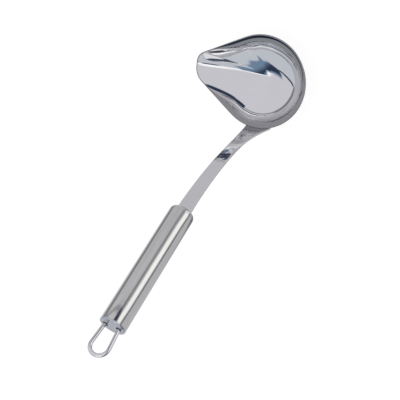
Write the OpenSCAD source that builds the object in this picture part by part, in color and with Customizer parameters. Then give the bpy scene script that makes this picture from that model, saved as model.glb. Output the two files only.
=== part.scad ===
// Soup ladle with one pouring spout, a flat arched neck, a round hollow handle
// and a swinging wire loop to hang it by.
// Millimetres. Z is up with the rim level, +X points from the bowl towards the
// handle, the spout is on the -Y side and the flat of the bowl's base is at z = 0.

/* [Bowl] */
// Half width of the rim's oval across
rim_rx = 45.6; // [44:0.2:47.2]
// Half width of the rim's oval along
rim_ry = 49; // [47.5:0.25:50.5]
// Turn of the oval, in degrees
rim_turn = 26; // [20:1:32]
// Height of the rim above the base
bowl_depth = 27; // [25:0.5:29]
// Thickness of the bowl's sheet
wall = 1.2; // [1:0.1:1.4]
// Width of the rim's outward flare
flare = 5.2; // [4.4:0.2:6]
// Height of the rim's outward flare
flare_rise = 2.4; // [1.8:0.2:3]
// How much wider the flare is at its widest, on the side away from the handle
flare_swell = 1.8; // [0:0.2:2.6]
// Distance from the middle of the oval to the spout's corners
spout_reach = 70.5; // [68:0.5:73]
// Half width of the spout between its corners
lip_half = 13; // [12:0.2:14]
// How far the pouring edge bulges beyond its corners
lip_bulge = 7; // [5:0.25:8]
// How far the pouring edge dips below the rim
lip_dip = 5; // [3:0.25:6]
// Turn of the spout away from square to the handle
spout_turn = 9; // [5:1:13]

/* [Neck] */
// Thickness of the neck's strip
strip = 2.2; // [1.8:0.1:2.6]
// Width of the neck where it meets the rim
foot_width = 26.6; // [24:0.2:28]
// Width of the neck at its narrowest
waist_width = 13.2; // [11.4:0.2:14]
// Width of the neck where it enters the handle
tang_width = 16; // [15:0.2:17]
// How far the neck's foot reaches below the rim
foot_height = 15; // [14:0.25:16]
// Distance from the middle of the bowl to the handle's front end
neck_reach = 86.7; // [84.2:0.5:89.7]
// Height of the handle's front end above the rim
neck_rise = 134.9; // [129.9:0.5:139.9]
// Length of strip inside the handle
tang_length = 24; // [18:1:30]

/* [Handle] */
// Rise of the handle above the level of the rim, in degrees
pitch = 59.5; // [56:0.5:63]
// Outer diameter of the tube
tube_d = 23.6; // [22.6:0.2:24.6]
// Wall of the tube
tube_wall = 1; // [0.8:0.1:1.2]
// Length from the front of the rounded cap to the tube's tail end
handle_length = 122; // [112:1:132]
// Length of the rounded front cap
nose = 5; // [4:0.25:6]
// Thickness of the tail cap's end
cap_wall = 1.5; // [1.2:0.1:1.8]

/* [Hanging loop] */
// Diameter of the wire
wire_d = 3.6; // [3.2:0.1:3.8]
// Distance between the wire's two legs where they leave the cap
leg_spacing = 12.4; // [12:0.2:13.4]
// Radius of the round end, to the middle of the wire
eye_r = 8.1; // [7.6:0.1:8.8]
// Distance from the cap's face to the middle of the round end
eye_reach = 18.5; // [17:0.5:21]
// Swing of the loop to each side, in degrees
swing = 15; // [10:1:16]
// Turn of the tail cap and loop about the handle's axis, in degrees
loop_roll = 15; // [0:1:20]

/* [Hidden] */
$fn = 96;

// Bowl outline, seen from above: an ellipse, two straight flanks and the pouring edge
middle_x = -3;
middle_y = 3.3;
base_flat = 1.03;
spout_dir = -90 - spout_turn;
spout_span = 52;
channel_power = 2.3;
flare_turn = 62;
flare_fade = [14, 42];
swell_dir = 157;
swell_span = 35;
lip_flare = 0.6;
lip_steps = 16;
flank_steps = 10;
rim_steps = 60;
wall_steps = 19;
flare_steps = 4;

// Neck
seat_gap = 0.1;
foot_top = 7.5;
crank_rows = 7;
neck_lean = 92;
neck_pull = 56;
tang_pull = 13;
waist_at = 0.3;
edge_round = 0.4;
foot_rows = 8;
neck_rows = 36;
weld_d = 4;
weld_apart = 7.5;
weld_proud = 0.15;

// Handle
tube_r = tube_d / 2;
bore_r = tube_r - tube_wall;
seat = 0.03;
skirt = 6;
skirt_wall = 0.8;
cap_round = 1.3;
slot_gap = 0.12;
nose_wall = 1.4;

// Loop: its feet turn behind the tail cap, about a line across the tube
wire_r = wire_d / 2;
wire_gap = 0.35;
foot_reach = bore_r - skirt_wall - 0.6;
cap_face = handle_length + cap_round;
hinge_at = cap_face - cap_wall - wire_gap - wire_r;
slot_half = (cap_wall + wire_gap + wire_r) * tan(swing) + wire_r / cos(swing) + wire_gap;
slot_r = wire_r + wire_gap;
heel_r = 2;
heel_steps = 6;
eye_steps = 16;
wire_sides = 20;

function clip(v) = max(0, min(1, v));
function unit(v) = v / norm(v);
function along(v, u) = v[0] * u[0] + v[1] * u[1];

// Outline about the oval's middle: an ellipse, two straight flanks and the pouring edge
squeeze = rim_rx / rim_ry;
function turned(p, a) = [p[0] * cos(a) - p[1] * sin(a), p[0] * sin(a) + p[1] * cos(a)];
function rim_at(a) = turned([rim_rx * cos(a), rim_ry * sin(a)], rim_turn);
spout_u = [cos(spout_dir), sin(spout_dir)];
spout_v = [-spout_u[1], spout_u[0]];
corner_a = spout_u * spout_reach + spout_v * lip_half;
corner_b = spout_u * spout_reach - spout_v * lip_half;
// Where a line from a corner touches the ellipse, found where that is a circle
function as_circle(c) = let (p = turned(c, -rim_turn)) [p[0], p[1] * squeeze];
function touch(c, sign) = let (p = as_circle(c)) atan2(p[1], p[0]) + sign * acos(rim_rx / norm(p));
from_a = touch(corner_a, 1);
past_b = touch(corner_b, -1);
to_b = past_b < from_a ? past_b + 360 : past_b;

raw_outline = concat(
    [for (i = [0:flank_steps - 1]) corner_a + (rim_at(from_a) - corner_a) * i / flank_steps],
    [for (i = [0:rim_steps - 1]) rim_at(from_a + (to_b - from_a) * i / rim_steps)],
    [for (i = [0:flank_steps - 1]) rim_at(to_b) + (corner_b - rim_at(to_b)) * i / flank_steps],
    [for (i = [0:lip_steps - 1]) let (v = i / lip_steps)
        corner_b + (corner_a - corner_b) * v + spout_u * lip_bulge * 4 * v * (1 - v)]);
count = len(raw_outline);
function soften(p) = [for (i = [0:count - 1])
    (p[(i + count - 1) % count] + 2 * p[i] + p[(i + 1) % count]) / 4];
outline = soften(soften(raw_outline));

// Inner surface of the sheet: an oval cup that opens into a rising channel at the spout,
// with a flared rim. Column i runs to outline point i, row j from the middle to the edge.
rows = wall_steps + flare_steps;
function side(i) = let (d = unit(outline[(i + 1) % count] - outline[(i + count - 1) % count]))
    [d[1], -d[0]];
function off_spout(i) = acos(along(unit(outline[i]), spout_u));
function ease(v) = let (t = clip(v)) t * t * (3 - 2 * t);
swell_u = [cos(swell_dir), sin(swell_dir)];
function swell(i) = flare_swell * exp(-pow(acos(along(unit(outline[i]), swell_u)) / swell_span, 2));
flared = [for (i = [0:count - 1])
    let (part = ease((off_spout(i) - flare_fade[0]) / (flare_fade[1] - flare_fade[0])))
    lip_flare + (flare + swell(i) - lip_flare) * part];
powers = [for (i = [0:count - 1])
    1 + (channel_power - 1) * pow(cos(90 * clip(off_spout(i) / spout_span)), 2)];
dips = [for (i = [0:count - 1]) let (q = abs(along(outline[i], spout_v)) / lip_half / 1.1)
    along(outline[i], spout_u) < spout_reach * 0.7 ? 0 : lip_dip * clip((1 - sqrt(q * q + 0.04)) / 0.8)];
inner_depth = bowl_depth - wall;

function cup(i, j) = let (
    length = norm(outline[i]), ray = outline[i] / length,
    width = flared[i] / along(ray, side(i)), rise = flare_rise * min(1, flared[i] / flare),
    a = 90 * j / wall_steps, t = flare_turn * (j - wall_steps) / flare_steps,
    c = min(1, base_flat * cos(a)),
    reach = j <= wall_steps ? (length - width) * sin(a)
        : length - width * (cos(t) - cos(flare_turn)) / (1 - cos(flare_turn)),
    drop = j <= wall_steps ? dips[i] + rise + (inner_depth - dips[i] - rise) * pow(c, powers[i])
        : dips[i] + rise * (1 - sin(t) / sin(flare_turn)))
    [ray[0] * reach, ray[1] * reach, bowl_depth - drop];
inner = [for (j = [1:rows]) [for (i = [0:count - 1]) cup(i, j)]];
function outward(i, j) = let (
    here = inner[j - 1], low = j == 1 ? [0, 0, wall] : inner[j - 2][i],
    high = j == rows ? here[i] : inner[j][i],
    n = cross(here[(i + 1) % count] - here[(i + count - 1) % count], high - low)) n / norm(n);

module bowl() {
    points = concat([[0, 0, 0], [0, 0, wall]],
        [for (j = [1:rows]) for (i = [0:count - 1]) inner[j - 1][i] + wall * outward(i, j)],
        [for (j = [1:rows]) for (i = [0:count - 1]) inner[j - 1][i]]);
    function o(i, j) = 2 + (j - 1) * count + i % count;
    function n(i, j) = o(i, j) + rows * count;
    faces = concat(
        [for (i = [0:count - 1]) [0, o(i, 1), o(i + 1, 1)]],
        [for (j = [1:rows - 1]) for (i = [0:count - 1]) [o(i, j), o(i, j + 1), o(i + 1, j + 1)]],
        [for (j = [1:rows - 1]) for (i = [0:count - 1]) [o(i, j), o(i + 1, j + 1), o(i + 1, j)]],
        [for (i = [0:count - 1]) [o(i, rows), n(i, rows), n(i + 1, rows)]],
        [for (i = [0:count - 1]) [o(i, rows), n(i + 1, rows), o(i + 1, rows)]],
        [for (j = [1:rows - 1]) for (i = [0:count - 1]) [n(i, j), n(i + 1, j + 1), n(i, j + 1)]],
        [for (j = [1:rows - 1]) for (i = [0:count - 1]) [n(i, j), n(i + 1, j), n(i + 1, j + 1)]],
        [for (i = [0:count - 1]) [1, n(i + 1, 1), n(i, 1)]]);
    color([0.82, 0.83, 0.85]) translate([middle_x, middle_y, 0])
        polyhedron(points = points, faces = faces, convexity = 6);
}

// Where the bowl's outside lies in x, at y across and at a drop below the rim: the oval
// with half widths a and b, and the wall's section at that height
function oval_x(y, a, b) = let (v = y - middle_y, c = cos(rim_turn), s = sin(rim_turn),
    k2 = c * c / a / a + s * s / b / b, k1 = 2 * v * s * c * (1 / a / a - 1 / b / b),
    k0 = v * v * (s * s / a / a + c * c / b / b) - 1)
    middle_x + (-k1 + sqrt(k1 * k1 - 4 * k2 * k0)) / 2 / k2;
cup_high = base_flat * (inner_depth - flare_rise) + wall;
function wall_x(y, drop) = let (k = sqrt(1 - pow((drop - flare_rise) / cup_high, 2)))
    oval_x(y, (rim_rx - flare + wall) * k, (rim_ry - flare + wall) * k);
function wall_normal(y, drop) = let (n = cross(
    [wall_x(y + 0.1, drop) - wall_x(y - 0.1, drop), 0.2, 0],
    [wall_x(y, drop - 0.1) - wall_x(y, drop + 0.1), 0, 0.2])) n / norm(n);

// Middle line of the neck in the plane of the handle, as [x, height above the rim]
grip_u = [cos(pitch), sin(pitch)];
grip_front = [neck_reach, neck_rise];
// The sheet's outer corner stands out past the rim by the lean of its last band
edge_at = flare_turn * (1 - 1 / flare_steps);
edge_u = unit([flare * (cos(edge_at) - cos(flare_turn)) / (1 - cos(flare_turn)),
    flare_rise * (1 - sin(edge_at) / sin(flare_turn))]);
edge_out = wall * edge_u[1];
function rim_x(y) = oval_x(y, rim_rx + edge_out, rim_ry + edge_out);
rim_start = [rim_x(0) + seat_gap + strip / 2, -wall];
lean_u = [cos(neck_lean), sin(neck_lean)];
function bezier(u, a, b, c, d) = pow(1 - u, 3) * a + 3 * pow(1 - u, 2) * u * b
    + 3 * (1 - u) * u * u * c + pow(u, 3) * d;
function wall_u(drop) = unit([wall_x(0, drop - 0.1) - wall_x(0, drop + 0.1), 0.2]);
function on_wall(drop) = let (d = wall_u(drop))
    [wall_x(0, drop), -drop] + [d[1], -d[0]] * (seat_gap + strip / 2);
function foot_drop(i) = foot_height + (foot_top - foot_height) * i / foot_rows;
middle = concat(
    [for (i = [0:foot_rows - 1]) on_wall(foot_drop(i))],
    [for (i = [0:crank_rows - 1]) bezier(i / crank_rows, on_wall(foot_top),
        on_wall(foot_top) + wall_u(foot_top) * foot_top * 0.4, rim_start - lean_u * foot_top * 0.4, rim_start)],
    [for (i = [0:neck_rows]) bezier(i / neck_rows, rim_start, rim_start + neck_pull * lean_u,
        grip_front - tang_pull * grip_u, grip_front)],
    [grip_front + grip_u * tang_length / 2, grip_front + grip_u * tang_length]);
function neck_width(u) = u < waist_at
    ? waist_width + (foot_width - waist_width) * pow((waist_at - u) / waist_at, 2)
    : waist_width + (tang_width - waist_width) * (u - waist_at) / (1 - waist_at);
function foot_span(i) = foot_width * (0.55 + 0.45 * sqrt(1 - pow(1 - clip((i + 0.2) / 5), 2)));
widths = concat(
    [for (i = [0:foot_rows - 1]) foot_span(i)],
    [for (i = [0:crank_rows - 1]) foot_width],
    [for (i = [0:neck_rows]) neck_width(i / neck_rows)],
    [tang_width, tang_width]);
// How far row k, at y across, curves in to wrap the bowl: the wall's curve on the foot, the
// rim's at the rim, and fading to none where the strip is flat
function wall_bend(y, drop) = wall_x(0, drop) - wall_x(y, drop);
function rim_bend(y) = rim_x(0) - rim_x(y);
function bend(y, k) = let (c = k - foot_rows, u = (c - crank_rows) / neck_rows / waist_at)
    c < 0 ? wall_bend(y, foot_drop(k))
    : c < crank_rows ? wall_bend(y, foot_top) + (rim_bend(y) - wall_bend(y, foot_top)) * c / crank_rows
    : rim_bend(y) * pow(clip(1 - u), 2);

// Section of the strip: part of the half width, inset, side of the middle line
strip_half = strip / 2;
strip_in = strip_half - edge_round;
across = [-0.75, -0.5, -0.25, 0, 0.25, 0.5, 0.75];
section = concat(
    [[-1, edge_round, strip_half]], [for (a = across) [a, 0, strip_half]],
    [[1, -edge_round, strip_half], [1, 0, strip_in], [1, 0, -strip_in], [1, -edge_round, -strip_half]],
    [for (a = across) [-a, 0, -strip_half]],
    [[-1, edge_round, -strip_half], [-1, 0, -strip_in], [-1, 0, strip_in]]);

module neck() {
    last = len(middle) - 1;
    n = len(section);
    function run(k) = unit(middle[min(k + 1, last)] - middle[max(k - 1, 0)]);
    points = [for (k = [0:last]) for (s = section)
        let (d = run(k), y = s[0] * widths[k] / 2 + s[1], p = middle[k] + [-d[1], d[0]] * s[2])
        [p[0] - bend(y, k), y, bowl_depth + p[1]]];
    function at(k, i) = k * n + i % n;
    half = 8;
    // Triangles that close the section at its edges and between its two faces
    closing = concat(
        [for (i = [0:half - 1]) for (t = [[i, 18 - i, i + 1], [i, 19 - i, 18 - i]]) t],
        [[0, 20, 19], [0, 21, 20], [8, 10, 9], [8, 11, 10]]);
    faces = concat(
        [for (k = [0:last - 1]) for (i = [0:n - 1]) [at(k, i), at(k + 1, i + 1), at(k + 1, i)]],
        [for (k = [0:last - 1]) for (i = [0:n - 1]) [at(k, i), at(k, i + 1), at(k + 1, i + 1)]],
        closing,
        [for (t = closing) [at(last, t[2]), at(last, t[1]), at(last, t[0])]]);
    color([0.8, 0.81, 0.83]) polyhedron(points = points, faces = faces, convexity = 6);
}

// Three spot welds that hold the foot to the bowl's wall
module neck_welds() {
    drop = (foot_top + foot_height) / 2;
    color([0.74, 0.75, 0.77])
        for (y = [-weld_apart, 0, weld_apart]) {
            n = wall_normal(y, drop);
            translate([wall_x(y, drop), y, bowl_depth - drop] - n * wall / 2)
                rotate([0, acos(n[2]), atan2(n[1], n[0])])
                    cylinder(h = wall / 2 + seat_gap + strip + weld_proud, d = weld_d, $fn = 48);
        }
}

// Puts a piece whose own z runs along the handle, from its front end, in its place
module on_handle() {
    translate([neck_reach, 0, bowl_depth + neck_rise]) rotate([0, 90 - pitch, 0]) children();
}

// Puts a piece of the tail in its place
module on_tail() {
    on_handle() rotate([0, 0, -loop_roll]) children();
}

// Quarter round about [x, y], from straight up or down to straight out
function shoulder(x, y, r, from) = [for (i = [0:8]) let (a = from * (1 - i / 8))
    [x + r * cos(a), y + r * sin(a)]];

module handle_tube() {
    bevel = 0.3;
    color([0.72, 0.72, 0.72]) on_handle() rotate_extrude()
        polygon([[bore_r, nose], [tube_r - bevel, nose], [tube_r, nose + bevel],
            [tube_r, handle_length - bevel], [tube_r - bevel, handle_length], [bore_r, handle_length]]);
}

// Rounded cap with a slot for the neck, its skirt inside the tube
module front_cap() {
    inner = bore_r - seat - skirt_wall;
    round_r = nose - 0.4;
    color([0.7, 0.7, 0.71]) on_handle() difference() {
        rotate_extrude() polygon(concat([[0, 0]],
            shoulder(tube_r - round_r, round_r, round_r, -90),
            [[tube_r, nose], [bore_r - seat, nose], [bore_r - seat, nose + skirt],
            [inner, nose + skirt], [inner, nose_wall], [0, nose_wall]]));
        translate([0, 0, nose / 2]) cube([strip + 2 * slot_gap, tang_width + 2 * slot_gap, nose * 3],
            center = true);
    }
}

// Tail cap with a rounded edge and two oblong holes for the wire's legs
module tail_cap() {
    inner = bore_r - seat - skirt_wall;
    color([0.68, 0.7, 0.74]) on_tail() difference() {
        rotate_extrude() polygon(concat([[0, cap_face]],
            shoulder(tube_r - cap_round, handle_length, cap_round, 90),
            [[bore_r - seat, handle_length], [bore_r - seat, handle_length - skirt],
            [inner, handle_length - skirt], [inner, cap_face - cap_wall], [0, cap_face - cap_wall]]));
        for (y = [-1, 1] * leg_spacing / 2) translate([0, y, cap_face - cap_wall - 0.5]) {
            for (x = [-1, 1] * (slot_half - slot_r)) translate([x, 0, 0])
                cylinder(h = cap_wall + 1, r = slot_r, $fn = 48);
            translate([-slot_half + slot_r, -slot_r, 0])
                cube([2 * (slot_half - slot_r), 2 * slot_r, cap_wall + 1]);
        }
    }
}

// Middle line of the wire as [y, z]: out of one foot, up a leg, round the eye and back
leg_y = leg_spacing / 2;
eye_at = cap_face + eye_reach;
to_eye = [-leg_y, eye_at - hinge_at];
lean = atan2(to_eye[0], to_eye[1]) + asin(eye_r / norm(to_eye));
heel = heel_r * tan(45 + lean / 2);
half_wire = concat([[foot_reach, hinge_at]],
    [for (i = [0:heel_steps]) let (a = 270 - (90 + lean) * i / heel_steps)
        [leg_y + heel + heel_r * cos(a), hinge_at + heel_r + heel_r * sin(a)]],
    [for (i = [0:eye_steps - 1]) let (a = -lean + (90 + lean) * i / eye_steps)
        [eye_r * cos(a), eye_at + eye_r * sin(a)]]);
wire = concat(half_wire, [[0, eye_at + eye_r]],
    [for (i = [len(half_wire) - 1:-1:0]) [-half_wire[i][0], half_wire[i][1]]]);

// Wire loop: feet behind the cap, legs through its holes and a round end
module hanging_loop() {
    last = len(wire) - 1;
    function run(k) = unit(wire[min(k + 1, last)] - wire[max(k - 1, 0)]);
    points = [for (k = [0:last]) for (i = [0:wire_sides - 1])
        let (d = run(k), a = 360 * i / wire_sides)
        [wire_r * sin(a), wire[k][0] + d[1] * wire_r * cos(a), wire[k][1] - d[0] * wire_r * cos(a)]];
    function at(k, i) = k * wire_sides + i % wire_sides;
    faces = concat(
        [for (k = [0:last - 1]) for (i = [0:wire_sides - 1]) [at(k, i), at(k, i + 1), at(k + 1, i + 1)]],
        [for (k = [0:last - 1]) for (i = [0:wire_sides - 1]) [at(k, i), at(k + 1, i + 1), at(k + 1, i)]],
        [[for (i = [wire_sides - 1:-1:0]) i], [for (i = [0:wire_sides - 1]) at(last, i)]]);
    color([0.85, 0.86, 0.88]) on_tail() polyhedron(points = points, faces = faces, convexity = 6);
}

bowl();
neck();
neck_welds();
handle_tube();
front_cap();
tail_cap();
hanging_loop();
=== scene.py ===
import math

import bmesh
import bpy
from mathutils import Matrix, Vector


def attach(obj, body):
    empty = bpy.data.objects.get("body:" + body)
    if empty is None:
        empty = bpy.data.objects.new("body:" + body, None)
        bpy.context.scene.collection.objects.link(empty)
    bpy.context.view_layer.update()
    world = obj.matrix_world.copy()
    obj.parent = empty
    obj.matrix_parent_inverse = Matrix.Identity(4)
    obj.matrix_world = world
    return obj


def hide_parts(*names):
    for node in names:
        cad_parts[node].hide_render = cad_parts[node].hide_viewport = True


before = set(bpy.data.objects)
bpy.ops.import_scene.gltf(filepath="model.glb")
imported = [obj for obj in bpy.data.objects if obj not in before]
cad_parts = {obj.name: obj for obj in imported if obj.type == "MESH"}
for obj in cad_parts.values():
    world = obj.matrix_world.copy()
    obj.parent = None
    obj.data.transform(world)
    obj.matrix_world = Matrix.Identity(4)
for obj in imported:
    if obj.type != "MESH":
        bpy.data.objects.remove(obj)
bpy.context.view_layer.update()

MM = 0.001

# Driving sizes, as in the part's source (mm, angles in radians)
RIM_RX, RIM_RY, RIM_TURN = 45.6, 49.0, math.radians(26)
DEPTH, WALL, FLARE, FLARE_RISE, FLARE_SWELL = 27.0, 1.2, 5.2, 2.4, 1.8
SPOUT_REACH, LIP_HALF, LIP_BULGE, LIP_DIP, SPOUT_TURN = 70.5, 13.0, 7.0, 5.0, math.radians(9)
STRIP, FOOT_WIDTH, WAIST_WIDTH, TANG_WIDTH, FOOT_HEIGHT = 2.2, 26.6, 13.2, 16.0, 15.0
NECK_REACH, NECK_RISE, TANG_LENGTH, PITCH = 86.7, 134.9, 24.0, math.radians(59.5)
TUBE_D, TUBE_WALL, HANDLE_LENGTH, NOSE, CAP_WALL = 23.6, 1.0, 122.0, 5.0, 1.5
WIRE_D, LEG_SPACING, EYE_R, EYE_REACH = 3.6, 12.4, 8.1, 18.5
SWING, LOOP_ROLL = math.radians(15), math.radians(15)

# Bowl: the dip of its pouring edge, how its flange fades at the spout, and its rolled edge
MIDDLE = Vector((-3.0, 3.3))
BASE_FLAT, SPOUT_SPAN, CHANNEL_POWER = 1.03, math.radians(52), 2.3
DIP_FROM, DIP_SPREAD, DIP_ROUND = 0.7, 1.1, 0.2
FLARE_TURN, FLARE_FADE, LIP_FLARE = math.radians(62), (math.radians(14), math.radians(42)), 0.6
SWELL_DIR, SWELL_SPAN = math.radians(157), math.radians(35)
INNER_DEPTH, ROLL_OUT = DEPTH - WALL, 0.4

# Neck and its welds; FOOT_TIP is the share of the foot's width at its lower end
SEAT_GAP, FOOT_TOP, NECK_LEAN, NECK_PULL, TANG_PULL = 0.1, 7.5, math.radians(92), 56.0, 13.0
FOOT_TIP, FOOT_SPREAD, FOOT_START, WAIST_AT = 0.55, 1.6, 0.04, 0.3
CRANK_PULL = FOOT_TOP * 0.4
WELD_D, WELD_APART, WELD_PROUD, WELD_EDGE = 4.0, 7.5, 0.15, 0.25
DIMPLE_IN, DIMPLE_LOW, CENTRE_LOW = 0.9, 0.12, 0.1

# Handle and loop
TUBE_R = TUBE_D / 2
BORE_R = TUBE_R - TUBE_WALL
SEAT, SKIRT, SKIRT_WALL, CAP_ROUND, SLOT_GAP, NOSE_WALL = 0.03, 6.0, 0.8, 1.3, 0.12, 1.4
TUBE_EDGE, NOSE_EDGE, CAP_EDGE, PINHOLE, OVERCUT = 0.3, 0.4, 0.15, 0.02, 0.5
WIRE_R, WIRE_GAP, FOOT_FREE = WIRE_D / 2, 0.35, 0.6
CAP_FACE = HANDLE_LENGTH + CAP_ROUND
HINGE_AT = CAP_FACE - CAP_WALL - WIRE_GAP - WIRE_R
FOOT_REACH = BORE_R - SKIRT_WALL - FOOT_FREE
SLOT_R = WIRE_R + WIRE_GAP
SLOT_HALF = (CAP_WALL + WIRE_GAP + WIRE_R) * math.tan(SWING) + WIRE_R / math.cos(SWING) + WIRE_GAP
GRIP = Vector((math.cos(PITCH), math.sin(PITCH)))
FRONT = Vector((NECK_REACH, 0.0, DEPTH + NECK_RISE))
ON_HANDLE = Matrix.Translation(FRONT) @ Matrix.Rotation(math.pi / 2 - PITCH, 4, "Y")
ON_TAIL = ON_HANDLE @ Matrix.Rotation(-LOOP_ROLL, 4, "Z")

# Slopes are taken over STEP to either side; SHARP angles keep an edge's shading crisp
STEP = 0.1
SHARP_CUT, SHARP_TURN, BEVEL_ANGLE = math.radians(40), math.radians(50), math.radians(50)
CUT_BEVEL = 0.12 * MM


def clip(v):
    return max(0.0, min(1.0, v))


def ease(v):
    t = clip(v)
    return t * t * (3 - 2 * t)


def soft_one(v, sharp=60):
    """The lesser of v and 1, with a soft turn between them."""
    return v - math.log(1 + math.exp(sharp * (v - 1))) / sharp


def lerp(a, b, t):
    return a + (b - a) * t


def mesh_from(name, points, faces, place=None):
    """Makes a smooth-shaded mesh from points in millimetres."""
    if place:
        points = [place @ Vector(p) for p in points]
    mesh = bpy.data.meshes.new(name)
    mesh.from_pydata([tuple(MM * c for c in p) for p in points], [], faces)
    mesh.validate()
    mesh.update()
    mesh.shade_smooth()
    return mesh


def add_object(name, data):
    obj = bpy.data.objects.new(name, data)
    bpy.context.scene.collection.objects.link(obj)
    return obj


def piece(name, mesh, body, stands_for):
    """Adds a mesh as a piece that rides on a body and replaces a CAD node."""
    obj = add_object(name, mesh)
    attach(obj, body)
    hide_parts(stands_for)
    return obj


def rings_to_faces(rings, count, closed=True):
    """Quads between rings of points, each ring given by the index of its first point."""
    faces = []
    for a, b in zip(rings, rings[1:]):
        for i in range(count if closed else count - 1):
            k = (i + 1) % count
            faces.append((a + i, a + k, b + k, b + i))
    return faces


# Bowl outline, seen from above about the oval's middle
def turned(v, a):
    """The vector v turned anticlockwise by a."""
    c, s = math.cos(a), math.sin(a)
    return Vector((v.x * c - v.y * s, v.x * s + v.y * c))


def rim_at(a):
    return turned(Vector((RIM_RX * math.cos(a), RIM_RY * math.sin(a))), RIM_TURN)


SPOUT_U = turned(Vector((0.0, -1.0)), -SPOUT_TURN)
SPOUT_V = Vector((-SPOUT_U.y, SPOUT_U.x))
CORNER_A = SPOUT_U * SPOUT_REACH + SPOUT_V * LIP_HALF
CORNER_B = SPOUT_U * SPOUT_REACH - SPOUT_V * LIP_HALF


def soften(line, times):
    """Smooths a closed line by averaging each point with its neighbours."""
    for _ in range(times):
        n = len(line)
        line = [(line[i - 1] + 2 * line[i] + line[(i + 1) % n]) / 4 for i in range(n)]
    return line


def refine(line, steps):
    """Smooth closed curve through the points of a line."""
    n, fine = len(line), []
    for i in range(n):
        p, q, r, s = line[i - 1], line[i], line[(i + 1) % n], line[(i + 2) % n]
        for k in range(steps):
            t = k / steps
            fine.append(0.5 * (2 * q + (r - p) * t + (2 * p - 5 * q + 4 * r - s) * t * t
                               + (3 * q - p - 3 * r + s) * t ** 3))
    return fine


def bowl_outline(lip=16, flank=10, rim=60, first_passes=2, fine_steps=4, last_passes=6):
    """An ellipse, two straight flanks and the bulging pouring edge."""
    def touch(corner, side):
        p = turned(corner, -RIM_TURN)
        y = p.y * RIM_RX / RIM_RY
        return math.atan2(y, p.x) + side * math.acos(RIM_RX / math.hypot(p.x, y))

    start, stop = touch(CORNER_A, 1), touch(CORNER_B, -1)
    if stop < start:
        stop += 2 * math.pi
    line = [CORNER_A.lerp(rim_at(start), i / flank) for i in range(flank)]
    line += [rim_at(lerp(start, stop, i / rim)) for i in range(rim)]
    line += [rim_at(stop).lerp(CORNER_B, i / flank) for i in range(flank)]
    line += [CORNER_B.lerp(CORNER_A, i / lip) + SPOUT_U * LIP_BULGE * 4 * (i / lip) * (1 - i / lip)
             for i in range(lip)]
    return soften(refine(soften(line, first_passes), fine_steps), last_passes)


def flat_floor(v):
    """Depth share of the underside, flat in the middle as in the CAD; v falls from 1 to 0."""
    return soft_one(BASE_FLAT * v)


def dished_floor(v, flat=1.01, sharp=40):
    """Inside, the floor stays within 0.4 mm of the flat one but curves all the way."""
    return soft_one(flat * v, sharp) / soft_one(flat, sharp)


def bowl_section(p, side, wall_rows, flare_rows, floor):
    """Points of one wall from near the middle out to outline point p; side is square to the rim."""
    off = p.normalized().angle(SPOUT_U)
    part = ease((off - FLARE_FADE[0]) / (FLARE_FADE[1] - FLARE_FADE[0]))
    off_swell = p.angle(turned(Vector((1, 0)), SWELL_DIR))
    swell = FLARE_SWELL * math.exp(-(off_swell / SWELL_SPAN) ** 2)
    flared = lerp(LIP_FLARE, FLARE + swell, part)
    power = 1 + (CHANNEL_POWER - 1) * math.cos(math.pi / 2 * clip(off / SPOUT_SPAN)) ** 2
    dip = 0.0
    if p.dot(SPOUT_U) > SPOUT_REACH * DIP_FROM:
        q = abs(p.dot(SPOUT_V)) / LIP_HALF / DIP_SPREAD
        dip = LIP_DIP * clip((1 - math.sqrt(q * q + DIP_ROUND ** 2)) / (1 - DIP_ROUND))
    ray, length = p.normalized(), p.length
    width, rise = flared / ray.dot(side), FLARE_RISE * min(1, flared / FLARE)
    points = []
    for j in range(1, wall_rows + 1):
        a = math.pi / 2 * j / wall_rows
        c = floor(math.cos(a))
        drop = dip + rise + (INNER_DEPTH - dip - rise) * c ** power
        points.append(((length - width) * math.sin(a), drop))
    for j in range(1, flare_rows + 1):
        t = FLARE_TURN * j / flare_rows
        out = (math.cos(t) - math.cos(FLARE_TURN)) / (1 - math.cos(FLARE_TURN))
        points.append((length - width * out, dip + rise * (1 - math.sin(t) / math.sin(FLARE_TURN))))
    return [Vector((ray.x * r, ray.y * r, DEPTH - drop)) for r, drop in points]


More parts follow.
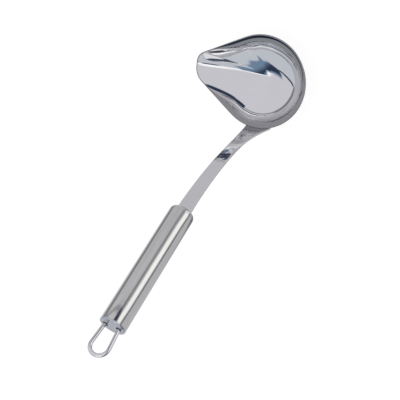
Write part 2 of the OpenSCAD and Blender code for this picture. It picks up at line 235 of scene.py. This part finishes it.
def bowl_mesh(wall_rows=64, flare_rows=12, round_rows=8):
    """The bowl: underside, rolled edge and dished inside, with a value that marks its flange."""
    line = bowl_outline()
    n = len(line)
    rows = wall_rows + flare_rows
    sides = [(line[(i + 1) % n] - line[i - 1]).normalized() for i in range(n)]

    def surface(floor):
        columns = [bowl_section(p, Vector((side.y, -side.x)), wall_rows, flare_rows, floor)
                   for p, side in zip(line, sides)]
        return [[columns[i][j] for i in range(n)] for j in range(rows)]

    inner = surface(flat_floor)
    outer, edge_up = [], []
    for j in range(rows):
        ring = []
        for i in range(n):
            low = inner[j - 1][i] if j else Vector((0, 0, WALL))
            high = inner[min(j + 1, rows - 1)][i]
            up = (high - low).normalized()
            out = (inner[j][(i + 1) % n] - inner[j][i - 1]).cross(up).normalized()
            ring.append(inner[j][i] + WALL * out)
            if j == rows - 1:
                edge_up.append(up)
        outer.append(ring)
    rolled = []
    for k in range(1, round_rows):
        a = math.pi * k / round_rows
        rolled.append([(inside + outside) / 2 + (inside - outside) / 2 * math.cos(a)
                       + up * WALL * ROLL_OUT * math.sin(a)
                       for inside, outside, up in zip(inner[-1], outer[-1], edge_up)])
    dished = surface(dished_floor)
    points, rings = [Vector((0, 0, 0)), Vector((0, 0, WALL))], []
    for ring in outer + rolled[::-1] + dished[::-1]:
        rings.append(len(points))
        points += ring
    faces = rings_to_faces(rings, n)
    for i in range(n):
        faces.append((0, rings[0] + (i + 1) % n, rings[0] + i))
        faces.append((1, rings[-1] + i, rings[-1] + (i + 1) % n))
    mesh = mesh_from("bowl_shell", points, faces, Matrix.Translation(MIDDLE.to_3d()))
    part = [clip((j - wall_rows + 1) / flare_rows) for j in range(rows)]
    share = [0.0, 0.0]
    for value in part + [1.0] * len(rolled) + part[::-1]:
        share += [value] * n
    mesh.attributes.new("flange", "FLOAT", "POINT").data.foreach_set("value", share)
    return mesh


bowl = piece("bowl_shell", bowl_mesh(), "ladle", "bowl")


# Neck: a strip whose foot follows the bowl's wall, steps out round the rim and arches up
def oval_x(y, a, b):
    """x on the handle's side where the turned oval with half axes a and b has this y."""
    v, c, s = y - MIDDLE.y, math.cos(RIM_TURN), math.sin(RIM_TURN)
    k2 = (c / a) ** 2 + (s / b) ** 2
    k1 = 2 * v * s * c * (1 / a ** 2 - 1 / b ** 2)
    k0 = v * v * ((s / a) ** 2 + (c / b) ** 2) - 1
    return MIDDLE.x + (-k1 + math.sqrt(k1 * k1 - 4 * k2 * k0)) / 2 / k2


# The cup's height without its flare, and how far the rim's outer edge stands out past the outline
CUP_HIGH = BASE_FLAT * (INNER_DEPTH - FLARE_RISE) + WALL
EDGE_AT = FLARE_TURN * 0.75
EDGE_WAY = Vector((FLARE * (math.cos(EDGE_AT) - math.cos(FLARE_TURN)) / (1 - math.cos(FLARE_TURN)),
                   FLARE_RISE * (1 - math.sin(EDGE_AT) / math.sin(FLARE_TURN))))
EDGE_OUT = WALL * EDGE_WAY.normalized().y


def wall_x(y, drop):
    """x of the bowl's outer wall at y, drop below the rim."""
    k = math.sqrt(1 - ((drop - FLARE_RISE) / CUP_HIGH) ** 2)
    return oval_x(y, (RIM_RX - FLARE + WALL) * k, (RIM_RY - FLARE + WALL) * k)


def rim_x(y):
    return oval_x(y, RIM_RX + EDGE_OUT, RIM_RY + EDGE_OUT)


def wall_up(drop):
    return Vector((wall_x(0, drop - STEP) - wall_x(0, drop + STEP), 2 * STEP)).normalized()


def on_wall(drop):
    """Middle of the strip's thickness where it lies along the wall."""
    up = wall_up(drop)
    return Vector((wall_x(0, drop), -drop)) + Vector((up.y, -up.x)) * (SEAT_GAP + STRIP / 2)


def bezier(u, a, b, c, d):
    return (1 - u) ** 3 * a + 3 * (1 - u) ** 2 * u * b + 3 * (1 - u) * u * u * c + u ** 3 * d


def neck_rows(foot=28, crank=28, arch=150, tang=6):
    """Rows of the strip as (place, width, bend in at y): foot, step round the rim, arch, tang."""
    start = Vector((rim_x(0) + SEAT_GAP + STRIP / 2, -WALL))
    lean = Vector((math.cos(NECK_LEAN), math.sin(NECK_LEAN)))
    end = Vector((NECK_REACH, NECK_RISE))
    rows = []
    for i in range(foot):
        t = i / foot
        drop = lerp(FOOT_HEIGHT, FOOT_TOP, t)
        widen = clip(t * FOOT_SPREAD + FOOT_START)
        span = FOOT_TIP + (1 - FOOT_TIP) * math.sqrt(1 - (1 - widen) ** 2)
        rows.append((on_wall(drop), FOOT_WIDTH * span,
                     lambda y, d=drop: wall_x(0, d) - wall_x(y, d)))
    low = on_wall(FOOT_TOP)
    for i in range(crank):
        t = i / crank
        at = bezier(t, low, low + wall_up(FOOT_TOP) * CRANK_PULL, start - lean * CRANK_PULL, start)
        rows.append((at, FOOT_WIDTH,
                     lambda y, t=t: lerp(wall_x(0, FOOT_TOP) - wall_x(y, FOOT_TOP),
                                         rim_x(0) - rim_x(y), t)))
    for i in range(arch + 1):
        u = i / arch
        at = bezier(u, start, start + NECK_PULL * lean, end - TANG_PULL * GRIP, end)
        if u < WAIST_AT:
            width = WAIST_WIDTH + (FOOT_WIDTH - WAIST_WIDTH) * ((WAIST_AT - u) / WAIST_AT) ** 2
        else:
            width = lerp(WAIST_WIDTH, TANG_WIDTH, (u - WAIST_AT) / (1 - WAIST_AT))
        flat = clip(1 - u / WAIST_AT) ** 2
        rows.append((at, width, lambda y, flat=flat: (rim_x(0) - rim_x(y)) * flat))
    rows += [(end + GRIP * TANG_LENGTH * i / tang, TANG_WIDTH, lambda y: 0.0)
             for i in range(1, tang + 1)]
    return rows


def strip_section(round_r=0.55, steps=14, corner=4):
    """Section of the strip: (share of the half width, inset, height off the middle line)."""
    half = STRIP / 2
    loop = []
    for sign in (1, -1):
        loop += [(sign * lerp(-1, 1, k / steps), -sign * lerp(-round_r, round_r, k / steps),
                  sign * half) for k in range(steps + 1)]
        for k in range(1, corner * 2):
            if k == corner:
                loop.append((sign, 0.0, 0.0))
                continue
            a = math.pi / 2 * (k % corner) / corner
            by_sine, by_cosine = round_r * (1 - math.sin(a)), round_r * (1 - math.cos(a))
            if k < corner:
                loop.append((sign, -sign * by_sine, sign * (half - by_cosine)))
            else:
                loop.append((sign, -sign * by_cosine, -sign * (half - by_sine)))
    return loop


def neck_mesh():
    """The strip's section swept along its rows."""
    rows, section = neck_rows(), strip_section()
    points, rings, last = [], [], len(rows) - 1
    for k, (at, width, bend) in enumerate(rows):
        run = (rows[min(k + 1, last)][0] - rows[max(k - 1, 0)][0]).normalized()
        rings.append(len(points))
        for part, inset, side in section:
            y = part * width / 2 + inset
            p = at + Vector((-run.y, run.x)) * side
            points.append(Vector((p.x - bend(y), y, DEPTH + p.y)))
    n = len(section)
    faces = rings_to_faces(rings, n)
    faces += [tuple(range(n - 1, -1, -1)), tuple(rings[-1] + i for i in range(n))]
    return mesh_from("neck_strip", points, [f[::-1] for f in faces])


neck = piece("neck_strip", neck_mesh(), "ladle", "neck")


def lathe(name, profile, place, count=192, closed=True):
    """Turns a profile of (radius, height) about z; a closed one is a ring without ends."""
    points, rings = [], []
    for r, z in profile:
        rings.append(len(points))
        points += [(r * math.cos(2 * math.pi * i / count), r * math.sin(2 * math.pi * i / count), z)
                   for i in range(count)]
    faces = rings_to_faces(rings + rings[:1] if closed else rings, count)
    if not closed:
        faces += [tuple(range(count - 1, -1, -1)), tuple(rings[-1] + i for i in range(count))]
    return mesh_from(name, points, faces, place)


def arc(x, y, r, start, stop, steps=10):
    """Points on a circle about (x, y) from one angle to another."""
    angles = [lerp(start, stop, k / steps) for k in range(steps + 1)]
    return [(x + r * math.cos(a), y + r * math.sin(a)) for a in angles]


# Spot welds on the foot: shallow round dimples
def weld_mesh(centre=0.01, count=48):
    top = STRIP + SEAT_GAP + WALL / 2 + WELD_PROUD
    profile = ([(centre, 0.0), (WELD_D / 2, 0.0)]
               + arc(WELD_D / 2 - WELD_EDGE, top - WELD_EDGE, WELD_EDGE, 0, math.pi / 2)
               + [(WELD_D / 2 - DIMPLE_IN, top - DIMPLE_LOW), (centre, top - CENTRE_LOW)])
    points, faces = [], []
    drop = (FOOT_TOP + FOOT_HEIGHT) / 2
    for y in (-WELD_APART, 0, WELD_APART):
        across = Vector((wall_x(y + STEP, drop) - wall_x(y - STEP, drop), 2 * STEP, 0))
        up = Vector((wall_x(y, drop - STEP) - wall_x(y, drop + STEP), 0, 2 * STEP))
        out = across.cross(up).normalized()
        at = Vector((wall_x(y, drop), y, DEPTH - drop)) - out * WALL / 2
        place = Matrix.Translation(at) @ out.to_track_quat("Z", "Y").to_matrix().to_4x4()
        one = lathe("weld", profile, place, count, closed=False)
        faces += [tuple(len(points) + v for v in poly.vertices) for poly in one.polygons]
        points += [v.co.copy() for v in one.vertices]
        bpy.data.meshes.remove(one)
    joined = bpy.data.meshes.new("weld_spots")
    joined.from_pydata(points, [], faces)
    joined.validate()
    joined.update()
    joined.shade_smooth()
    return joined


welds = piece("weld_spots", weld_mesh(), "ladle", "neck_welds")


def carved(mesh, cutters):
    """Cuts closed meshes out of a mesh and gives the finished mesh."""
    base = add_object("cutting", mesh)
    tools = [add_object("cutter", cutter) for cutter in cutters]
    for tool in tools:
        modifier = base.modifiers.new("cut", "BOOLEAN")
        modifier.operation, modifier.solver, modifier.object = "DIFFERENCE", "EXACT", tool
    bevel = base.modifiers.new("bevel", "BEVEL")
    bevel.width, bevel.segments, bevel.limit_method = CUT_BEVEL, 2, "ANGLE"
    bevel.angle_limit = BEVEL_ANGLE
    finished = base.evaluated_get(bpy.context.evaluated_depsgraph_get())
    result = bpy.data.meshes.new_from_object(finished)
    for obj in [base] + tools:
        bpy.data.objects.remove(obj)
    result.shade_smooth()
    result.set_sharp_from_angle(angle=SHARP_CUT)
    return result


def prism(outline, low, high, place):
    """Closed mesh over an outline, between two heights."""
    n = len(outline)
    points = [(x, y, z) for z in (low, high) for x, y in outline]
    faces = [tuple(range(n - 1, -1, -1)), tuple(range(n, 2 * n))]
    faces += [(i, (i + 1) % n, (i + 1) % n + n, i + n) for i in range(n)]
    return mesh_from("prism", points, faces, place)


# Handle tube, with rounded edges at both ends
def tube_mesh(edge_steps=4, rows=8):
    low, high, r = NOSE + TUBE_EDGE, HANDLE_LENGTH - TUBE_EDGE, TUBE_R - TUBE_EDGE
    profile = ([(BORE_R, NOSE)] + arc(r, low, TUBE_EDGE, -math.pi / 2, 0, edge_steps)
               + [(TUBE_R, lerp(low, high, k / rows)) for k in range(1, rows)]
               + arc(r, high, TUBE_EDGE, 0, math.pi / 2, edge_steps) + [(BORE_R, HANDLE_LENGTH)])
    mesh = lathe("tube", profile, ON_HANDLE)
    mesh.set_sharp_from_angle(angle=SHARP_TURN)
    return mesh


tube = piece("tube_shell", tube_mesh(), "ladle", "handle_tube")


# Front cap: a dome with a skirt in the tube and a slot for the tang
def front_mesh(round_steps=20, edge_steps=3):
    outer, round_r = BORE_R - SEAT, NOSE - NOSE_EDGE
    inner = outer - SKIRT_WALL
    profile = ([(PINHOLE, 0.0)]
               + arc(TUBE_R - round_r, round_r, round_r, -math.pi / 2, 0, round_steps)
               + arc(TUBE_R - CAP_EDGE, NOSE - CAP_EDGE, CAP_EDGE, 0, math.pi / 2, edge_steps)
               + [(outer, NOSE), (outer, NOSE + SKIRT), (inner, NOSE + SKIRT),
                  (inner, NOSE_WALL), (PINHOLE, NOSE_WALL)])
    half_x, half_y = STRIP / 2 + SLOT_GAP, TANG_WIDTH / 2 + SLOT_GAP
    slot = [(-half_x, -half_y), (half_x, -half_y), (half_x, half_y), (-half_x, half_y)]
    return carved(lathe("front", profile, ON_HANDLE), [prism(slot, -NOSE, NOSE * 2, ON_HANDLE)])


front = piece("front_dome", front_mesh(), "ladle", "front_cap")


# Tail cap: a rounded disc with a skirt in the tube and two oblong holes for the wire
def tail_mesh(round_steps=12, edge_steps=3, hole_steps=24):
    outer, round_r = BORE_R - SEAT, CAP_ROUND - CAP_EDGE
    inner, back, skirt = outer - SKIRT_WALL, CAP_FACE - CAP_WALL, HANDLE_LENGTH - SKIRT
    profile = ([(PINHOLE, back), (inner, back), (inner, skirt), (outer, skirt),
                (outer, HANDLE_LENGTH)]
               + arc(TUBE_R - CAP_EDGE, HANDLE_LENGTH + CAP_EDGE, CAP_EDGE, -math.pi / 2, 0,
                     edge_steps)
               + arc(TUBE_R - round_r, CAP_FACE - round_r, round_r, 0, math.pi / 2, round_steps)
               + [(PINHOLE, CAP_FACE)])
    reach = SLOT_HALF - SLOT_R
    holes = []
    for y in (-LEG_SPACING / 2, LEG_SPACING / 2):
        outline = (arc(reach, y, SLOT_R, -math.pi / 2, math.pi / 2, hole_steps)
                   + arc(-reach, y, SLOT_R, math.pi / 2, math.pi * 1.5, hole_steps))
        holes.append(prism(outline, back - OVERCUT, CAP_FACE + OVERCUT, ON_TAIL))
    return carved(lathe("tail", profile, ON_TAIL), holes)


tail = piece("tail_disc", tail_mesh(), "ladle", "tail_cap")


# Hanging loop: one wire, feet behind the cap, legs through its holes and a round end
def wire_line(heel_r=2.0, heel_steps=16, eye_steps=56, leg_steps=14, foot_steps=4):
    """The wire's middle line in its own plane: one half, then its mirror image."""
    leg_y, eye_at = LEG_SPACING / 2, CAP_FACE + EYE_REACH
    to_eye = Vector((-leg_y, eye_at - HINGE_AT))
    lean = math.atan2(to_eye.x, to_eye.y) + math.asin(EYE_R / to_eye.length)
    heel = heel_r * math.tan(math.pi / 4 + lean / 2)
    foot = Vector((FOOT_REACH, HINGE_AT))
    turn = [Vector(p) for p in arc(leg_y + heel, HINGE_AT + heel_r, heel_r, math.pi * 1.5,
                                   math.pi - lean, heel_steps)]
    eye = [Vector(p) for p in arc(0, eye_at, EYE_R, -lean, math.pi / 2, eye_steps)]
    half = [foot.lerp(turn[0], k / foot_steps) for k in range(foot_steps)] + turn
    half += [turn[-1].lerp(eye[0], k / leg_steps) for k in range(1, leg_steps)] + eye
    return half + [Vector((-p.x, p.y)) for p in half[-2::-1]]


def loop_mesh(sides=36):
    line = wire_line()
    points, rings, last = [], [], len(line) - 1
    for k, at in enumerate(line):
        run = (line[min(k + 1, last)] - line[max(k - 1, 0)]).normalized()
        rings.append(len(points))
        for i in range(sides):
            a = 2 * math.pi * i / sides
            out = WIRE_R * math.cos(a)
            points.append((WIRE_R * math.sin(a), at.x + run.y * out, at.y - run.x * out))
    faces = rings_to_faces(rings, sides)
    faces += [tuple(range(sides - 1, -1, -1)), tuple(rings[-1] + i for i in range(sides))]
    mesh = mesh_from("wire", points, [f[::-1] for f in faces], ON_TAIL)
    mesh.set_sharp_from_angle(angle=SHARP_TURN)
    return mesh


loop = piece("wire_loop", loop_mesh(), "loop", "hanging_loop")


# Materials
def material(name):
    """A new material with its tree and its shader."""
    mat = bpy.data.materials.new(name)
    mat.use_nodes = True
    tree = mat.node_tree
    tree.nodes.clear()
    out = tree.nodes.new("ShaderNodeOutputMaterial")
    shader = tree.nodes.new("ShaderNodeBsdfPrincipled")
    tree.links.new(shader.outputs[0], out.inputs[0])
    return mat, tree, shader


def node(tree, kind, inputs=(), **settings):
    """Adds a node; an input is either a socket to link or a value to set."""
    made = tree.nodes.new(kind)
    for key, value in settings.items():
        setattr(made, key, value)
    for key, value in dict(inputs).items():
        if isinstance(value, bpy.types.NodeSocket):
            tree.links.new(value, made.inputs[key])
        else:
            made.inputs[key].default_value = value
    return made


def calc(tree, operation, a, b):
    return node(tree, "ShaderNodeMath", {0: a, 1: b}, operation=operation).outputs[0]


def mix(tree, factor, a, b, blend="MIX"):
    """Mixes colours: the node's colour sockets are 6 and 7, and its colour output is 2."""
    return node(tree, "ShaderNodeMix", {0: factor, 6: a, 7: b}, data_type="RGBA",
                blend_type=blend).outputs[2]


def ramp(tree, factor, stops):
    """Colour ramp over (position, grey or colour) stops."""
    made = tree.nodes.new("ShaderNodeValToRGB")
    tree.links.new(factor, made.inputs[0])
    elements = made.color_ramp.elements
    while len(elements) < len(stops):
        elements.new(0.5)
    for element, (at, value) in zip(elements, stops):
        element.position = at
        element.color = (*value, 1) if isinstance(value, tuple) else (value, value, value, 1)
    return made.outputs[0]


# Noise from its LOW to its HIGH value is spread over a ramp
HAZE_LOW, HAZE_HIGH, GRAIN_LOW, GRAIN_HIGH = 0.3, 0.7, 0.25, 0.75
# Two soft ribs along the flange, as (place across it, height)
RIBS = [(0.0, 0.0), (0.3, 1.0), (0.5, 0.3), (0.7, 1.0), (1.0, 0.0)]


def mirror_steel(name, colour, rough, wave, scale=28.0, painted_flange_shade=1.0):
    """Polished sheet: near-mirror, with polishing haze, slow waviness and a flange painted darker,
    a painted shade that stands in for the darker reflection of the rolled edge.
    """
    mat, tree, shader = material(name)
    where = node(tree, "ShaderNodeTexCoord").outputs["Object"]
    haze = node(tree, "ShaderNodeTexNoise", {"Vector": where, "Scale": 55.0, "Detail": 3.0})
    dim = tuple(c * 0.97 for c in colour)
    tint = ramp(tree, haze.outputs[0], [(HAZE_LOW, dim), (HAZE_HIGH, colour)])
    flange = node(tree, "ShaderNodeAttribute", attribute_name="flange").outputs["Fac"]
    # Painted shade: the flange's base colour is darkened to stand in for the darker reflection of
    # the rolled edge
    flange_shade_ramp = ramp(tree, flange, [(0.0, 1.0), (0.35, painted_flange_shade)])
    tree.links.new(mix(tree, 1.0, tint, flange_shade_ramp, "MULTIPLY"), shader.inputs["Base Color"])
    shader.inputs["Metallic"].default_value = 1.0
    roughness = ramp(tree, haze.outputs[0], [(HAZE_LOW, rough), (HAZE_HIGH, rough * 1.8)])
    tree.links.new(roughness, shader.inputs["Roughness"])
    slow = node(tree, "ShaderNodeTexNoise", {"Vector": where, "Scale": scale, "Detail": 1.0})
    waves = node(tree, "ShaderNodeBump", {"Height": slow.outputs[0], "Distance": wave,
                 "Strength": 1.0})
    ribs = node(tree, "ShaderNodeBump", {"Height": ramp(tree, flange, RIBS), "Distance": 0.1 * MM,
                "Normal": waves.outputs[0]})
    tree.links.new(ribs.outputs[0], shader.inputs["Normal"])
    return mat


def handle_coords(tree):
    """Coordinates turned with the handle, in metres: z runs along it and y stays sideways."""
    where = node(tree, "ShaderNodeTexCoord").outputs["Object"]
    centre = node(tree, "ShaderNodeVectorMath", {0: where, 1: FRONT * MM}, operation="SUBTRACT")
    aligned = node(tree, "ShaderNodeVectorRotate", {"Vector": centre.outputs[0],
                   "Axis": (0, 1, 0), "Angle": PITCH - math.pi / 2}, rotation_type="AXIS_ANGLE")
    return aligned.outputs[0]


def brushed_steel(name, colour, rough, stretch):
    """Satin steel; its grain runs along the handle's axis with the lowest stretch."""
    mat, tree, shader = material(name)
    where = handle_coords(tree)
    lines = node(tree, "ShaderNodeVectorMath", {0: where, 1: stretch}, operation="MULTIPLY")
    grain = node(tree, "ShaderNodeTexNoise", {"Vector": lines.outputs[0], "Scale": 1.0,
                 "Detail": 4.0, "Roughness": 0.6})
    dim = tuple(c * 0.82 for c in colour)
    tint = ramp(tree, grain.outputs[0], [(GRAIN_LOW, dim), (GRAIN_HIGH, colour)])
    tree.links.new(tint, shader.inputs["Base Color"])
    shader.inputs["Metallic"].default_value = 1.0
    roughness = ramp(tree, grain.outputs[0], [(GRAIN_LOW, rough * 0.8), (GRAIN_HIGH, rough * 1.2)])
    tree.links.new(roughness, shader.inputs["Roughness"])
    bump = node(tree, "ShaderNodeBump", {"Height": grain.outputs[0], "Distance": 0.02 * MM,
                "Strength": 0.6})
    tree.links.new(bump.outputs[0], shader.inputs["Normal"])
    return mat


# The bowl's flange is painted down to 0.42 of its colour, a painted shade for the darker reflection
# of its rolled edge
POLISHED = mirror_steel("polished_steel", (0.70, 0.70, 0.715), rough=0.03, wave=0.01 * MM,
                        painted_flange_shade=0.42)
STRAP = mirror_steel("strap_steel", (0.68, 0.68, 0.685), rough=0.05, wave=0.15 * MM, scale=160.0)
WIRE = mirror_steel("wire_steel", (0.74, 0.745, 0.755), rough=0.08, wave=0.005 * MM)
WELD = mirror_steel("weld_steel", (0.55, 0.55, 0.56), rough=0.3, wave=0.05 * MM)
BRUSHED = brushed_steel("brushed_steel", (0.66, 0.655, 0.645), rough=0.14,
                        stretch=(1500.0, 1500.0, 40.0))
# The tail cap's blue-grey colour is a painted reflection: the steel is tinted blue to stand in for
# the bluish light its face mirrors
CAP = brushed_steel("cap_steel", (0.57, 0.595, 0.64), rough=0.18, stretch=(300.0, 300.0, 300.0))

for obj, mat in ((bowl, POLISHED), (neck, STRAP), (welds, WELD), (tube, BRUSHED),
                 (front, BRUSHED), (tail, CAP), (loop, WIRE)):
    obj.data.materials.clear()
    obj.data.materials.append(mat)

# Floor: white, and keeps the ladle's soft shadow; the steel mirrors the tent below it instead
FLOOR, FLOOR_DROP, FLOOR_GREY, FLOOR_GLOW = 3.0, 0.5 * MM, 0.25, 0.85
corners = [(-FLOOR, -FLOOR, 0), (FLOOR, -FLOOR, 0), (FLOOR, FLOOR, 0), (-FLOOR, FLOOR, 0)]
floor_mesh = bpy.data.meshes.new("floor")
floor_mesh.from_pydata(corners, [], [(0, 1, 2, 3)])
floor = add_object("floor", floor_mesh)
floor.location.z = -FLOOR_DROP
floor.visible_glossy = False
floor_mat, tree, shader = material("floor_white")
shader.inputs["Base Color"].default_value = (FLOOR_GREY, FLOOR_GREY, FLOOR_GREY, 1)
shader.inputs["Roughness"].default_value = 1.0
shader.inputs["Specular IOR Level"].default_value = 0.0
shader.inputs["Emission Color"].default_value = (1, 1, 1, 1)
seen = node(tree, "ShaderNodeLightPath").outputs["Is Camera Ray"]
tree.links.new(calc(tree, "MULTIPLY", seen, FLOOR_GLOW), shader.inputs["Emission Strength"])
floor_mesh.materials.append(floor_mat)


# Studio: each card is a patch of the tent, bounded by planes through its middle. A plane is
# given by the direction it keeps, how far along it the card starts, and half its soft edge.
# Angles are in degrees, azimuths anticlockwise from +X; left_of keeps lower azimuths than its
# own, right_of higher ones.
def toward(az, el):
    az, el = math.radians(az), math.radians(el)
    return Vector((math.cos(el) * math.cos(az), math.cos(el) * math.sin(az), math.sin(el)))


def above(el, soft=3):
    return Vector((0, 0, 1)), math.sin(math.radians(el)), math.radians(soft)


def below(el, soft=3):
    return Vector((0, 0, -1)), -math.sin(math.radians(el)), math.radians(soft)


def left_of(az, soft=3):
    return toward(az - 90, 0), 0.0, math.radians(soft)


def right_of(az, soft=3):
    return toward(az + 90, 0), 0.0, math.radians(soft)


def side_of(a, b, inner, push=0.0, soft=1.0):
    """Inner's side of the plane through two directions, with its edge pushed out by push."""
    across = toward(*a).cross(toward(*b)).normalized()
    across *= 1 if across.dot(toward(*inner)) > 0 else -1
    return across, -math.sin(math.radians(push)), math.radians(soft)


SKY, LOW, PANEL = (0.80, 0.79, 0.83), (0.68, 0.672, 0.71), (0.70, 0.735, 0.785)
LAMP, WHITE, PALE = (2.6, 2.6, 2.6), (1.45, 1.45, 1.44), (0.95, 0.95, 0.95)
BLUE, INK, NAVY = (0.21, 0.31, 0.45), (0.1, 0.13, 0.19), (0.035, 0.05, 0.09)
SHADE, SLATE = (0.32, 0.32, 0.33), (0.27, 0.27, 0.285)
COAL, DARK = (0.2, 0.2, 0.21), (0.11, 0.11, 0.12)

# Edges of the panel that the bowl mirrors, each through two directions, and one for the spout
LEFT, TOP, SPOUT = ((-84, 22), (-57, 50)), ((-56, 50), (-6, 36)), ((3, 34), (20, 56))
IN_PANEL, OVER_PANEL, BESIDE_PANEL = (-45, 36), (-40, 70), (-120, 30)

TENT = [
    (SKY, [above(8)]),
    # Bright patches on the neck's bend and on the bowl
    (WHITE, [above(59), below(77), right_of(-63, 1.146)]),
    # Glints and dark streaks on the bowl's flange; the last one also shades the tube's tail
    (LAMP, [above(51), below(60), right_of(54, 2), left_of(70)]),
    (DARK, [above(51, 2), below(60, 2), right_of(36, 2), left_of(50, 2)]),
    (NAVY, [below(28, 4), above(-3, 4), right_of(8), left_of(90)]),
    (DARK, [below(17), right_of(-135, 6), left_of(-85), above(10, 2)]),
    (SHADE, [below(18, 1), above(13, 1), right_of(90, 2.865)]),
    # The bowl's pale blue upper part, with the dark line at its side
    (PANEL, [side_of(*LEFT, IN_PANEL), side_of(*TOP, IN_PANEL), left_of(4, 4), above(14)]),
    (NAVY, [side_of(*LEFT, IN_PANEL, 1.5, 0.5), side_of(*LEFT, BESIDE_PANEL, 1.0, 0.5),
            side_of(*TOP, IN_PANEL, 1.5), above(18, 2)]),
    (PANEL, [above(30), below(56, 3), right_of(-20), left_of(5, 4)]),
    # The bowl's blue band, its dark lower edge, and its run to the spout
    (BLUE, [side_of(*TOP, OVER_PANEL, 0.0, 2.0), below(67, 2), side_of(*LEFT, IN_PANEL, 8),
            left_of(-7, 2), above(30, 2)]),
    (NAVY, [side_of(*TOP, OVER_PANEL, 0.3, 1.2), below(70, 2), side_of(*LEFT, IN_PANEL, 6, 0.5),
            left_of(-35, 8), above(28, 2)]),
    (INK, [side_of(*SPOUT, (-40, 40), 3), side_of(*SPOUT, (90, 20), 3), above(43, 2),
           below(60, 2), left_of(90), right_of(-30)]),
    # The bowl's dark crescent
    (NAVY, [below(27, 2), right_of(135, 2), left_of(160, 2), above(10, 1)]),
    # Lengthwise lines on the tube
    (SHADE, [below(10, 2), right_of(142), left_of(156), above(-40)]),
    (WHITE, [below(13), right_of(107), left_of(133, 4), above(-40)]),
    (COAL, [below(0, 6), right_of(93), left_of(103, 2), above(-60)]),
    (SLATE, [below(8), right_of(-124, 4), left_of(-104, 5)]),
    (PALE, [below(-8, 8), right_of(-92, 10), left_of(-54, 4)]),
    # A dark and a bright bar across the neck, and the shade at its edge and the tube's
    (NAVY, [below(-27, 1), above(-31, 1), right_of(-153), left_of(-137)]),
    (WHITE, [below(-32, 1), above(-38, 1), right_of(-153), left_of(-137)]),
    (COAL, [below(-55, 3), right_of(-20), left_of(60)]),
]


def tent_material():
    """Emission by direction from the tent's middle: the cards laid over one another, in order."""
    mat = bpy.data.materials.new("tent")
    mat.use_nodes = True
    mat.cycles.emission_sampling = "NONE"
    tree = mat.node_tree
    tree.nodes.clear()
    out = tree.nodes.new("ShaderNodeOutputMaterial")
    place = node(tree, "ShaderNodeNewGeometry").outputs["Position"]
    way = node(tree, "ShaderNodeVectorMath", {0: place}, operation="NORMALIZE").outputs[0]
    colour = node(tree, "ShaderNodeRGB").outputs[0]
    colour.default_value = (*LOW, 1)
    for card, edges in TENT:
        mask = None
        for across, limit, soft in edges:
            reach = node(tree, "ShaderNodeVectorMath", {0: way, 1: across}, operation="DOT_PRODUCT")
            step = node(tree, "ShaderNodeMapRange", {0: reach.outputs["Value"], 1: limit - soft,
                        2: limit + soft}, interpolation_type="SMOOTHSTEP").outputs[0]
            mask = step if mask is None else calc(tree, "MULTIPLY", mask, step)
        colour = mix(tree, mask, colour, (*card, 1))
    glow = node(tree, "ShaderNodeEmission", {0: colour, 1: 1.0})
    tree.links.new(glow.outputs[0], out.inputs[0])
    return mat


TENT_R = 8.0
tent_mesh = bpy.data.meshes.new("tent")
ball = bmesh.new()
bmesh.ops.create_icosphere(ball, subdivisions=5, radius=TENT_R)
ball.to_mesh(tent_mesh)
ball.free()
tent = add_object("tent", tent_mesh)
tent.visible_camera = False
tent_mesh.materials.append(tent_material())

# World: plain white behind everything, a little dimmer as light
AMBIENT, BACKDROP = 0.8, 1.0
world = bpy.data.worlds.new("studio")
bpy.context.scene.world = world
world.use_nodes = True
tree = world.node_tree
tree.nodes.clear()
out = tree.nodes.new("ShaderNodeOutputWorld")
rays = node(tree, "ShaderNodeLightPath").outputs
seen = calc(tree, "MAXIMUM", rays["Is Camera Ray"], rays["Is Glossy Ray"])
seen = calc(tree, "MAXIMUM", seen, rays["Is Transmission Ray"])
level = node(tree, "ShaderNodeMapRange", {0: seen, 3: AMBIENT, 4: BACKDROP})
backdrop = node(tree, "ShaderNodeBackground", {0: (1, 1, 1, 1), 1: level.outputs[0]})
tree.links.new(backdrop.outputs[0], out.inputs[0])

# Camera: worked out from the photograph's outline. RIGHT, UP and BACK are its axes, and SHIFT is
# where the point DEPTH above the origin lies in them (mm).
RIGHT = Vector((0.02692, 0.84008, -0.54179))
UP = Vector((-0.93585, -0.16933, -0.30906))
BACK = Vector((-0.35138, 0.51535, 0.78163))
SHIFT = Vector((55.931, 112.584, -748.616))
FOCAL_PX, PICTURE_PX, SENSOR = 763.24, 400.0, 36.0
camera = add_object("camera", bpy.data.cameras.new("camera"))
bpy.context.scene.camera = camera
place = -(RIGHT * SHIFT.x + UP * SHIFT.y + BACK * SHIFT.z) + Vector((0, 0, DEPTH))
turn = Matrix((RIGHT, UP, BACK)).transposed().to_4x4()
camera.matrix_world = Matrix.Translation(place * MM) @ turn
camera.data.sensor_width = SENSOR
camera.data.lens = FOCAL_PX * SENSOR / PICTURE_PX
camera.data.clip_start, camera.data.clip_end = 0.05, 20.0
bpy.context.scene.view_settings.view_transform = "Standard"
